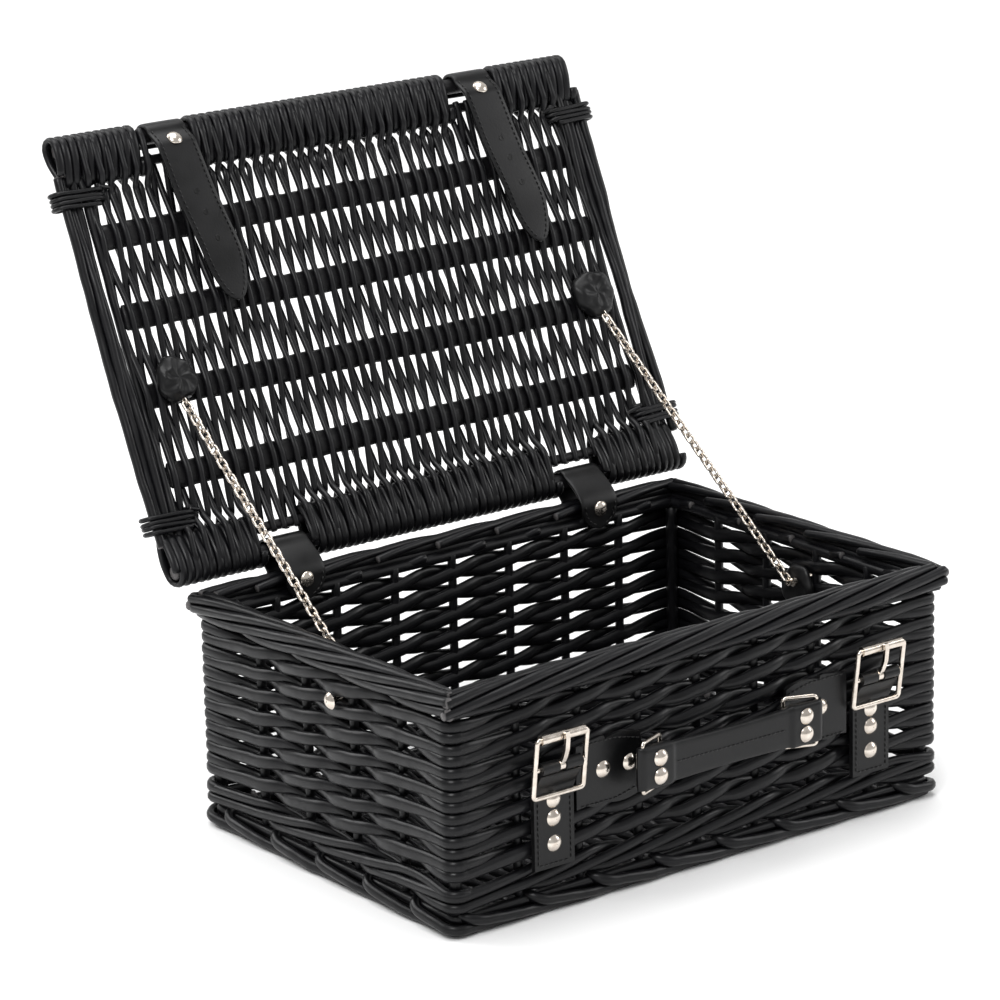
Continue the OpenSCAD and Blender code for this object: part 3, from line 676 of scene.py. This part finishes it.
def lid_weavers(front_gaps, back_gaps):
    """Thin rods over and under the cross sticks, laid over the edge bands or tucked in beside a strap."""
    bundle = Bundle(lid_point)
    pitch, count = 4.08, 84
    reach, over_band = 4.1, 7.2
    straight = 0.96
    tucked = EDGE_BAND - 11
    first = EDGE_BAND / 2 + 0.5
    for k in range(count):
        x0 = (k - (count - 1) / 2) * pitch + RNG.normal(0, 0.35)
        sign = 1 if k % 2 else -1
        short_back, short_front = near_gap(x0, back_gaps), near_gap(x0, front_gaps)
        start = tucked if short_back else 5 + RNG.uniform(-1, 2)
        stop = LID_DEPTH - (tucked if short_front else 5 + RNG.uniform(-1, 2))
        u = np.linspace(start, stop, 100)
        turn = np.pi * (np.clip(u, first, LID_DEPTH - first) - first) / CROSS_PITCH
        # The rods run almost straight from the front of one stick to the back of the next
        n = sign * reach * np.arcsin(straight * np.cos(turn)) / math.asin(straight)
        back_band = (1 - ease((u - EDGE_BAND + 4) / 12)) * (not short_back)
        front_band = (1 - ease((LID_DEPTH - EDGE_BAND + 4 - u) / 12)) * (not short_front)
        spread = back_band + front_band
        # The very ends bend in a little
        low, high = ease((u - start + 1) / 8), ease((stop - u + 1) / 8)
        n = (n * (1 - spread) + sign * over_band * spread) * (0.7 + 0.3 * low) * (0.7 + 0.3 * high)
        lean = 1.1 * np.sin(turn / 2 + RNG.uniform(0, TURN)) * RNG.uniform(0.3, 1)
        x = x0 + lean + wander(u, 0.55, 150)
        radius = 1.95 + wander(u, 0.16, 200) + RNG.uniform(-0.18, 0.18)
        bundle.rod(points_of(x, u, n), radius, (0, 0, 1), flat=0.86)
    bundle.build("lid_weavers", "lid", WILLOW, ["lid_weave"])


def oval_loop(turns, half_len, radius, per_turn=26):
    """A cord wound round two parallel sticks, as (across, through, turns made)."""
    straight, bend = 2 * half_len, math.pi * radius
    s = np.linspace(0, turns, int(turns * per_turn) + 1)
    d = np.mod(s, 1) * 2 * (straight + bend)
    across = np.empty(len(d))
    through = np.empty(len(d))
    for i, v in enumerate(d):
        # The second half of a turn is the first one turned about
        sign = 1 if v <= straight + bend else -1
        v = v if sign > 0 else v - straight - bend
        if v <= straight:
            across[i], through[i] = sign * (v - half_len), -sign * radius
        else:
            a = (v - straight) / radius - math.pi / 2
            across[i], through[i] = sign * (half_len + radius * math.cos(a)), sign * radius * math.sin(a)
    return across, through, s


def edge_wrap(name, node, u_mid, gaps):
    """Rods wound side by side round an edge's two sticks, with a gap for each strap."""
    bundle = Bundle(lid_point)
    pitch, half, end = 5.45, EDGE_PITCH / 2, 187.0
    rod_r, flat = 2.62, 0.66
    edges = [-end] + [g + side * STRAP_GAP / 2 for g in gaps for side in (-1, 1)] + [end]
    for a, b in zip(edges[::2], edges[1::2]):
        turns = round((b - a) / pitch)
        step = (b - a) / turns
        across, through, s = oval_loop(turns, half + 0.5, 6.6)
        # The band thins towards the weave, where the rods come out over it
        inner = -across if u_mid > LID_DEPTH / 2 else across
        through = through * (1 - 0.5 * ease((inner + 3) / 16))
        jitter = np.interp(s, np.arange(turns + 2), RNG.normal(0, 0.35, turns + 2))
        # Most of each step sideways is made behind the lid
        part = np.mod(s, 1)
        made = np.floor(s) + 0.25 * part + 0.75 * ease((part - 0.45) / 0.5)
        x = a + 2.7 + made * step * (turns - 1) / turns + jitter
        beyond = np.where(np.abs(across) > half, across - np.sign(across) * half, 0)
        hint = unit(points_of(0.0, beyond, through))
        bundle.rod(points_of(x, u_mid + across, through), rod_r, hint, flat=flat)
    bundle.build(name, "lid", WILLOW, [node])


def side_rods():
    """Four rods along each short side of the lid, loosely twisted."""
    u = np.linspace(EDGE_BAND - 6, LID_DEPTH - EDGE_BAND + 6, 90)
    t = (u - u[0]) / (u[-1] - u[0])
    for side, name in ((-1, "left"), (1, "right")):
        bundle = Bundle(lid_point)
        for k, x0 in enumerate((172.8, 177.2, 181.6, 186.2)):
            sign = 1 if k % 2 else -1
            bow = (1.6 - 0.7 * k) * np.sin(math.pi * t) * sign
            x = side * (x0 + bow + wander(u, 0.5, 130))
            n = 1.6 * sign * np.cos(2.2 * math.pi * t + k) + wander(u, 0.4, 90)
            radius = 2.75 + wander(u, 0.2, 200) - 0.2 * (k == 0)
            bundle.rod(points_of(x, u, n), radius, (0, 0, 1), cut_ends=True)
        bundle.build(f"lid_side_rods_{name}", "lid", WILLOW, [f"lid_rods_{name}"])


def bindings():
    """Cane wound round the side rods near each corner, with its end laid in."""
    bundle = Bundle(lid_point)
    turns, pitch, cane_r = 4, 2.75, 1.35
    middle, half = 176.5, 10.8
    tail = np.linspace(0, 1, 14)
    for side in (-1, 1):
        for u0 in (EDGE_BAND + 7, LID_DEPTH - EDGE_BAND - 7):
            across, through, s = oval_loop(turns, half, 5.2)
            x = side * (middle + across * 1.02) + wander(s * 30, 0.25, 40)
            u = u0 + (s - turns / 2) * pitch + wander(s * 30, 0.5, 60)
            bundle.rod(points_of(x, u, through), cane_r, (0.02, 1, 0.03))
            end = points_of(side * (163.5 - 7 * tail), u0 + 4.5 - 1.5 * tail, -5 + 2 * tail)
            bundle.rod(end, cane_r - 0.1, (0, 1, 0), cut_ends=True)
    bundle.build("lid_binding_cords", "lid", WILLOW, ["lid_bindings"])


# ---- Leather ----

SLAB = slab_section()
THREAD_SECTION = [(math.cos(a), math.sin(a)) for a in np.arange(6) * TURN / 6]
STITCH_SHAPE = np.array([0.6, 0.95, 1, 0.95, 0.6])
STITCH_IN = 2.5
# Spacing, length and radius of the bolder stitches on the handle and its plates
SEAM_STITCH = (3.2, 2.1, 0.4)
DOME = [(4.7, -0.3), (4.8, 0.15), (4.6, 0.6), (4.1, 1.15), (3.2, 1.75), (2.1, 2.15), (1.0, 2.35), (0.3, 2.4)]
# A near-black disc in each strap hole, painted shade for the hole's dark inside
HOLE_SHADE_PROFILE = [(1.9, -0.2), (1.9, 0.14), (1.5, 0.2), (1.0, 0.14)]


def stitches(bundle, line, hint, spacing=3.3, length=2.1, radius=0.34):
    """Short raised stitches along a line of points."""
    line = np.asarray(line, float)
    at = run_length(line)
    hint = np.asarray(hint, float)
    for s in np.arange(spacing / 2, at[-1] - length / 2, spacing):
        span = s + np.linspace(-0.5, 0.5, 5) * length
        p = points_of(*(np.interp(span, at, line[:, i]) for i in range(3)))
        lift = radius * 1.1 * (1 - np.linspace(-1, 1, 5) ** 2)
        bundle.rod(p + hint * lift[:, None], radius * STITCH_SHAPE, hint + 0.01,
                   section=THREAD_SECTION, tone=0.5)


def strap_width(d, half, tip):
    """Half width of a strap at distance d from its pointed tip."""
    return half * np.sqrt(np.clip(1 - (1 - np.clip(d / tip, 0, 1)) ** 1.75, 0.0004, 1))


def closing_straps():
    """Each strap loops round the lid's front stick and lies down the inside of the open lid."""
    thick, half, tip_length = 2.2, 13.2, 30
    # From the edge to the stitches, and from the lid's front edge to the tip, the rivet and the holes
    inset, tip_at, rivet_at, holes_at = 2.6, 113, 15, (46, 60, 75)
    root, tip_u = LID_DEPTH - EDGE_IN, LID_DEPTH - tip_at
    ring_r = EDGE_STICK_R + thick / 2 + 0.2
    short_u = np.linspace(root - 5.5, root - 2, 10)
    turn = np.radians(np.linspace(95, -90, 16))
    hang_u = np.linspace(root - 3, tip_u, 64)
    down = root - hang_u
    # It leaves the stick, lies along the weave and lifts slightly towards its tip
    hang_n = -7.0 - 5.6 * ease((down + 2) / 12) + 0.9 * ease((down - 70) / 35)
    hang_n = hang_n - 0.5 * np.sin(down / 9.0) * ease(down / 30)
    u = np.concatenate([short_u, root + ring_r * np.cos(turn), hang_u])
    n = np.concatenate([np.full(len(short_u), ring_r), ring_r * np.sin(turn), hang_n])
    hang = len(short_u) + len(turn)
    shown = slice(hang - 2, len(u) - 1)
    along = np.clip((root - u) / (root - tip_u), 0, 1)
    along[:hang] = 0

    def point_at(distance):
        return hang + int(np.argmin(np.abs(hang_u - (LID_DEPTH - distance))))

    for name, (x_root, x_tip) in STRAP_X.items():
        strap, stitch, hole_shade_discs, rivet = (Bundle(lid_point) for _ in range(4))
        x = x_root + (x_tip - x_root) * (0.35 * along + 0.65 * ease(along * 0.95))
        path = points_of(x, u, n)
        reach = run_length(path)
        width = strap_width(reach[-1] - reach, half, tip_length)
        tangent = unit(np.gradient(path, axis=0))
        hint = unit(np.cross(tangent, (1.0, 0, 0)))
        strap.sweep(path, width, thick / 2, hint, section=SLAB, tone=0.4)
        face = np.where(hint[:, 2:] < 0, 1, -1) * hint
        side = unit(np.cross(tangent, hint))
        keep = (width[shown] - inset) > 0.5
        for s in (-1, 1):
            line = path + side * s * (width - inset)[:, None] + face * (thick / 2 + 0.02)
            stitches(stitch, line[shown][keep], (0, 0, -1))
        # Each hole gets a near-black disc: painted shade, not a real opening
        for distance in holes_at:
            i = point_at(distance)
            hole_shade_discs.lathe(path[i] + face[i] * (thick / 2 - 0.1), face[i], HOLE_SHADE_PROFILE, sides=18)
        i = point_at(rivet_at)
        rivet.lathe(path[i] + face[i] * thick / 2, face[i], DOME)
        body = f"strap_{name}"
        strap.build(f"closing_strap_leather_{name}", body, LEATHER, [f"closing_strap_{name}"])
        stitch.build(f"closing_strap_stitches_{name}", body, THREAD)
        hole_shade_discs.build(f"closing_strap_hole_shade_{name}", body, SHADE)
        rivet.build(f"strap_rivet_dome_{name}", body, NICKEL, [f"strap_rivet_{name}"])


def crumpled_disc(bundle, centre, normal, up, radius, thick, folds):
    """A soft leather disc gathered over a button: creased on top and drawn in at its edge."""
    centre, normal, up = (np.asarray(v, float) for v in (centre, normal, up))
    across = np.cross(up, normal)
    rings, spokes = 18, 60
    angle = np.arange(spokes) * TURN / spokes
    creases = [(RNG.integers(2, 7), RNG.uniform(0, TURN), RNG.uniform(0.5, 1.0)) for _ in range(folds)]
    lobes = 1 + 0.05 * np.sin(3 * angle + creases[0][1]) + 0.03 * np.sin(7 * angle + creases[1][1])
    points = []
    for i in range(rings + 1):
        t = i / rings
        r = radius * t * lobes
        wave = sum(a * np.sin(k * angle + p + 5 * t * (k % 3 - 1)) for k, p, a in creases) / folds
        ridge = np.abs(np.sin(1.5 * angle + 4 * t + creases[2][1])) ** 3
        domed = math.sqrt(max(1 - t ** 4, 0)) * 0.85
        height = thick * (domed + 0.3 * wave * t * (1 - t ** 6) + 0.18 * ridge * t * (1 - t ** 8))
        points.append(centre + (np.cos(angle) * r)[:, None] * across
                      + (np.sin(angle) * r)[:, None] * up + height[:, None] * normal)
    under_r = radius * 0.9
    points.append(centre - normal * 0.8 + (np.cos(angle) * under_r)[:, None] * across
                  + (np.sin(angle) * under_r)[:, None] * up)
    points = np.concatenate(points)
    j, k = np.arange(spokes), (np.arange(spokes) + 1) % spokes
    rows = np.arange(rings + 1) * spokes
    faces = [np.stack([row + j, row + spokes + j, row + spokes + k, row + k], -1) for row in rows]
    faces.append(((rings + 1) * spokes + j)[None, ::-1])
    bundle.put(points, points_of(points[:, 0], points[:, 1], 0.5), faces)


def patches():
    """Leather gathered over each end of the stay chains, inside the lid and inside the walls."""
    folds = 5
    lid_patch, wall_patch = Bundle(lid_point), Bundle()
    for side, radius in ((-1, 13.4), (1, 15.0)):
        crumpled_disc(lid_patch, (side * 151.2, 114.5, -8.2), (0, 0, -1), (0, 1, 0), radius, 6.6, folds)
    for side in (-1, 1):
        crumpled_disc(wall_patch, (side * 161.5, -12, 103), (-side, 0, 0), (0, 0, 1), 14, 4.2, folds)
    lid_patch.build("lid_patch_leather", "lid", LEATHER, ["lid_patches"])
    wall_patch.build("wall_patch_leather", "basket", LEATHER, ["wall_patches"])


def chain_eyes():
    """The small rings that hold the stay chains, and the washers behind the lid."""
    top = np.array(joint("chain_top_right")["pos_m"]) / MM
    ring_r, wire_r = 2.05, 0.55
    bundle = Bundle()
    angle = np.linspace(0, TURN, 32, endpoint=False)
    ring = points_of(0.0, ring_r * np.cos(angle), ring_r * np.sin(angle))
    outward = lid_point((0, 0, 1)) - lid_point((0, 0, 0))
    for side in (-1, 1):
        bundle.rod(top * (side, 1, 1) + ring, wire_r, (1, 0, 0), closed=True)
        bundle.lathe(lid_point((side * top[0], 112.5, 9.3)), outward, DOME)
    bundle.build("lid_chain_eye_rings", "lid", NICKEL, ["lid_chain_eyes"])


def hinge_profile(inner_y, outer_y, low, high, cy, cz, ring):
    """A hinge leather's middle line as (y, z): up inside, round the lid's stick and down outside."""
    up = points_of(inner_y, np.linspace(low, high, 14))
    t = np.linspace(0, 1, 10)[1:, None]
    lift = math.radians(35)
    bend = np.array([inner_y + 1.5, high + 7.5])
    meet = np.array([cy - ring * math.cos(lift), cz + ring * math.sin(lift)])
    leap = (1 - t) ** 2 * up[-1] + 2 * t * (1 - t) * bend + t ** 2 * meet
    turn = np.radians(np.linspace(145, -25, 16))[1:]
    wrap = points_of(cy + ring * np.cos(turn), cz + ring * np.sin(turn))
    fall = wrap[-1] + (np.array([outer_y, high]) - wrap[-1]) * ease(np.linspace(0, 1, 7))[1:, None]
    down = points_of(outer_y, np.linspace(high, low, 14)[1:])
    return np.concatenate([up, leap, wrap, fall, down])


def hinges():
    """One leather strap each side, clamped round the back border and looped round the lid's back stick."""
    rivets = Bundle()
    thick = 2.1
    rivet_z = sum(node_box("hinge_tab_rivets")[i][2] for i in (0, 1)) / 2
    for name in ("left", "right"):
        tab_low, tab_high = node_box(f"hinge_tab_{name}")
        loop_low, loop_high = node_box(f"hinge_loop_{name}")
        x, half = middle_and_half(tab_low[0], tab_high[0])
        cy, ring = middle_and_half(loop_low[1], loop_high[1])
        cz = (loop_low[2] + loop_high[2]) / 2
        inner_y, outer_y = tab_low[1] + thick / 2 - 0.4, tab_high[1] - thick / 2 + 0.2
        low = tab_low[2]
        yz = hinge_profile(inner_y, outer_y, low, RIM_HIGH[2] - 3, cy, cz, ring - 1)
        path = points_of(x, yz[:, 0], yz[:, 1])
        reach = run_length(path)
        # Both ends are rounded
        close = np.minimum(reach, reach[-1] - reach)
        width = half * np.sqrt(np.clip(1 - (1 - np.clip(close / half, 0, 1)) ** 2, 0.002, 1))
        hint = np.cross(unit(np.gradient(path, axis=0)), (1.0, 0, 0))
        bundle = Bundle()
        bundle.sweep(path, width, thick / 2, hint, section=SLAB, tone=0.4)
        piece = bundle.build(f"hinge_leather_{name}", "basket", LEATHER,
                             [f"hinge_tab_{name}", f"hinge_loop_{name}"], ride=False)
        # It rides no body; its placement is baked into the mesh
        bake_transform(piece)
        stitch = Bundle()
        inset = half - 2.4
        face = inner_y - thick / 2 - 0.02
        for s in (-1, 1):
            line = [(x + s * inset, face, z) for z in np.linspace(low + half, RIM_HIGH[2] - 2, 12)[::-1]]
            line += [(x + s * inset * math.cos(a), face, low + half - inset * math.sin(a))
                     for a in np.radians(np.linspace(0, 82, 10))]
            stitches(stitch, line, (0, -1, 0))
        stitch.build(f"hinge_stitches_{name}", "basket", THREAD)
        rivets.lathe((x, inner_y - thick / 2, rivet_z), (0, -1, 0), DOME)
        rivets.lathe((x, outer_y + thick / 2, rivet_z), (0, 1, 0), DOME)
    rivets.build("hinge_rivet_domes", "basket", NICKEL, ["hinge_tab_rivets"])


def chapes():
    """Thread round the lower leathers that hold the buckles."""
    face, top = FRONT_Y - 3.42, 70.0
    for name in ("left", "right"):
        low, high = node_box(f"chape_{name}")
        x, half = middle_and_half(low[0], high[0])
        foot = low[2] + STITCH_IN
        stitch = Bundle()
        for s in (-1, 1):
            edge = [(x + s * (half - STITCH_IN), face, z) for z in np.linspace(foot, top, 24)]
            stitches(stitch, edge, (0, -1, 0))
        stitches(stitch, [(x - half + 3, face, foot), (x + half - 3, face, foot)], (0, -1, 0))
        stitch.build(f"chape_stitches_{name}", "basket", THREAD)


def anchor_stitches():
    """Two rows of thread along the curved edges of each handle plate."""
    for name, side in (("left", -1), ("right", 1)):
        (x0, _, z0), (x1, _, z1) = node_box(f"anchor_{name}")
        inner, outer = (x1, x0) if side < 0 else (x0, x1)
        middle, half = middle_and_half(z0, z1)
        x = np.linspace(inner + side * 12, outer - side * 3, 60)
        share = np.abs((x - inner) / (outer - inner))
        thread = Bundle()
        for edge in (1, -1):
            z = middle + edge * (half - 2.6 - 8.5 * np.clip(0.55 - share, 0, 1) ** 1.3 * 2)
            stitches(thread, points_of(x, FRONT_Y - 2.85, z), (0, -1, 0), *SEAM_STITCH)
        thread.build(f"anchor_{name}_thread", "basket", THREAD)


def handle():
    """A folded leather grip running straight between its two rings, stitched along the middle."""
    low, high = node_box("handle_half_left")
    right_high = node_box("handle_half_right")[1]
    middle, reach = middle_and_half(low[0], right_high[0])
    y, fold = middle_and_half(low[1], high[1])
    z, half = middle_and_half(low[2], high[2])
    strap_half, fold_length, bend_half = 2.5, 25, 34
    t = np.linspace(-1, 1, 121)
    # Thicker where the ends fold back, with rounded noses
    end = ease(np.clip((np.abs(t) * reach - (reach - fold_length)) / 3.0, 0, 1))
    tip = np.clip((reach - np.abs(t) * reach) / 3.4, 0, 1)
    thick = (strap_half + (fold - strap_half) * end) * np.sqrt(np.clip(1 - (1 - tip) ** 2, 0.04, 1))
    wide = half - 1.0 + 1.0 * end - 0.5 * np.cos(t * math.pi) * (1 - end)
    leather, seam = Bundle(), Bundle()
    leather.sweep(points_of(middle + t * (reach - 0.4), y, z), wide, thick, (0, -1, 0),
                  section=slab_section(28, 0.3), tone=0.4)
    span = np.linspace(-1, 1, 40) * (reach - 26)
    stitches(seam, points_of(middle + span, y - 2.55, z), (0, -1, 0), *SEAM_STITCH)
    halves = ["handle_half_left", "handle_half_right"]
    for piece in (leather.build("handle_leather", "grip_left", LEATHER, halves, ride=False),
                  seam.build("handle_stitches", "grip_left", THREAD, ride=False)):
        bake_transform(piece)


wall_weave()
waling()
foot_border()
rim_border()
uprights()
base()
lid_sticks()
closing_x = sorted(x for x, _ in STRAP_X.values())
hinge_x = [sum(node_box(f"hinge_loop_{s}")[i][0] for i in (0, 1)) / 2 for s in ("left", "right")]
lid_weavers(closing_x, hinge_x)
edge_wrap("lid_front_wrap_rod", "lid_front_wrap", LID_DEPTH - EDGE_BAND / 2, closing_x)
edge_wrap("lid_back_wrap_rod", "lid_back_wrap", EDGE_BAND / 2, hinge_x)
side_rods()
bindings()
closing_straps()
patches()
chain_eyes()
hinges()
chapes()
anchor_stitches()
handle()

# ---- CAD nodes that show as they are ----

METAL_WORDS = ("rivet", "buckle", "ring", "chain", "stud", "eye")
for name, node in frame["nodes"].items():
    if node.hide_render:
        continue
    metal = any(word in name for word in METAL_WORDS)
    node.data.materials.clear()
    node.data.materials.append(NICKEL if metal else LEATHER)


# ---- Floor, light and camera ----

def plain_material(name, level, rough):
    paint = Paint(name)
    faint = paint.noise(paint.place(), 2.0, 2.0)
    paint.link(paint.mix(paint.spread(faint, 0.0, 1.0), grey(0.985 * level), grey(level)), "Base Color")
    paint.set(Roughness=rough)
    return paint.material


def studio():
    """A pale floor curving up into a backdrop, four soft lights and a white surround, in metres."""
    half, depth, rise, bend = 6.0, 4.0, 5.0, 1.5
    profile = [(-depth, 0.0), (depth - bend, 0.0)]
    for a in np.linspace(0, math.pi / 2, 16)[1:]:
        profile.append((depth - bend + bend * math.sin(a), bend - bend * math.cos(a)))
    profile.append((depth, rise))
    turn = Matrix.Rotation(math.radians(-37), 3, "Z")
    verts = [turn @ Vector((x, y, z)) for y, z in profile for x in (-half, half)]
    faces = [(2 * i, 2 * i + 1, 2 * i + 3, 2 * i + 2) for i in range(len(profile) - 1)]
    mesh = bpy.data.meshes.new("studio_floor")
    mesh.from_pydata(verts, [], faces)
    for polygon in mesh.polygons:
        polygon.use_smooth = True
    mesh.materials.append(plain_material("pale_floor", 0.93, 0.9))
    floor = bpy.data.objects.new("studio_floor", mesh)
    bpy.context.scene.collection.objects.link(floor)
    aim = Vector((0, 0, 0.15))
    # Name, place, size and power
    lights = (("key", (-1.9, -1.4, 2.6), 1.3, 52), ("fill", (2.6, -1.4, 1.5), 1.4, 22),
              ("top", (0.2, 0.5, 3.2), 2.4, 70), ("back", (-1.2, 2.2, 1.8), 1.6, 34))
    for name, place, size, power in lights:
        data = bpy.data.lights.new(name, "AREA")
        data.energy, data.size = power, size
        light = bpy.data.objects.new(name, data)
        light.location = place
        light.rotation_euler = (aim - Vector(place)).to_track_quat("-Z", "Y").to_euler()
        bpy.context.scene.collection.objects.link(light)
    world = bpy.data.worlds.new("white_surround")
    world.use_nodes = True
    background = world.node_tree.nodes["Background"]
    background.inputs["Color"].default_value = grey(1)
    background.inputs["Strength"].default_value = 0.55
    bpy.context.scene.world = world


def camera():
    """A long lens from the front left, slightly above, placed in metres."""
    place, target = Vector((-1.45748, -1.87810, 0.88331)), Vector((-0.01764, 0.03959, 0.17980))
    roll = math.radians(-1.30)
    ahead = (target - place).normalized()
    right = ahead.cross(Vector((0, 0, 1))).normalized()
    up = right.cross(ahead)
    right = right * math.cos(roll) + up * math.sin(roll)
    up = right.cross(ahead)
    data = bpy.data.cameras.new("camera")
    data.lens, data.sensor_width = 158.4, 36
    made = bpy.data.objects.new("camera", data)
    made.matrix_world = Matrix.Translation(place) @ Matrix((right, up, -ahead)).transposed().to_4x4()
    bpy.context.scene.collection.objects.link(made)
    bpy.context.scene.camera = made


studio()
camera()
bpy.context.scene.view_settings.view_transform = "Standard"
